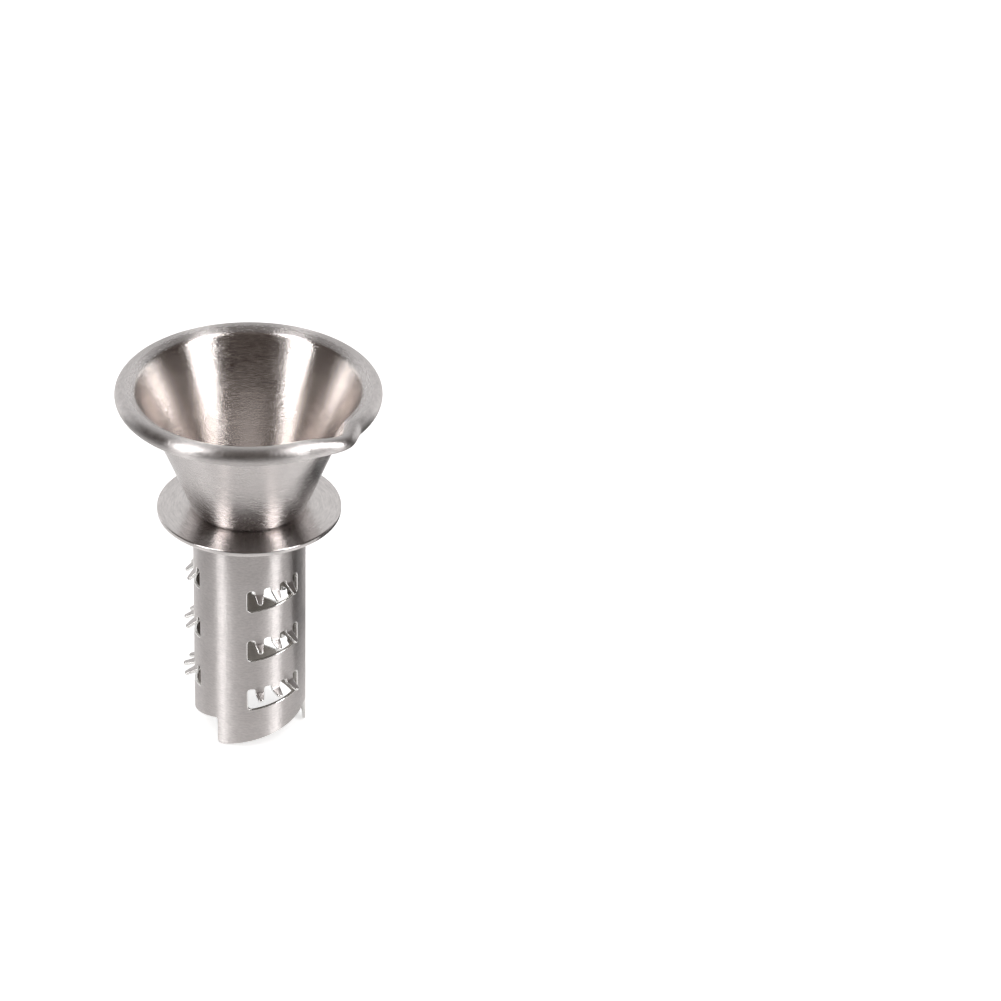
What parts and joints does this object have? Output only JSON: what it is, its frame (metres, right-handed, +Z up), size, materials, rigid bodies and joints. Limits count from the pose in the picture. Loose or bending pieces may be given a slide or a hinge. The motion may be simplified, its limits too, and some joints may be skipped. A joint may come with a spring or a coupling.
{
  "type": "citrus juice spout",
  "caption": "Hand-screwed citrus tap: a toothed tube with windows and bent fingers, a stop disc and a funnel with a pouring lip, all in stainless steel.",
  "frame": {"origin": "on the tube's axis, level with the tips of the saw steps, which is the middle of the bottom of the bounding box", "axes": "+Z up along the tube to the funnel's rim; -Y is the front, towards the viewer of the picture; +X is to the viewer's right; the pouring lip points between -Y and +X"},
  "size_m": [0.05, 0.05, 0.0751],
  "materials": {
    "funnel_steel": "stainless steel, spun with a fine grain that runs round the funnel",
    "disc_steel": "stainless steel, smooth rolled finish with a blurred mirror and a bright rounded edge",
    "tube_steel": "stainless steel, fine grain that runs round the tube, polished cut edges",
    "weld_steel": "stainless steel weld bead, brushed back"
  },
  "bodies": {
    "root": {"funnel_cup": "funnel_steel", "stop_disc": "disc_steel", "cutter_tube": "tube_steel", "throat_weld": "weld_steel", "collar_weld": "weld_steel"}
  },
  "joints": []
}
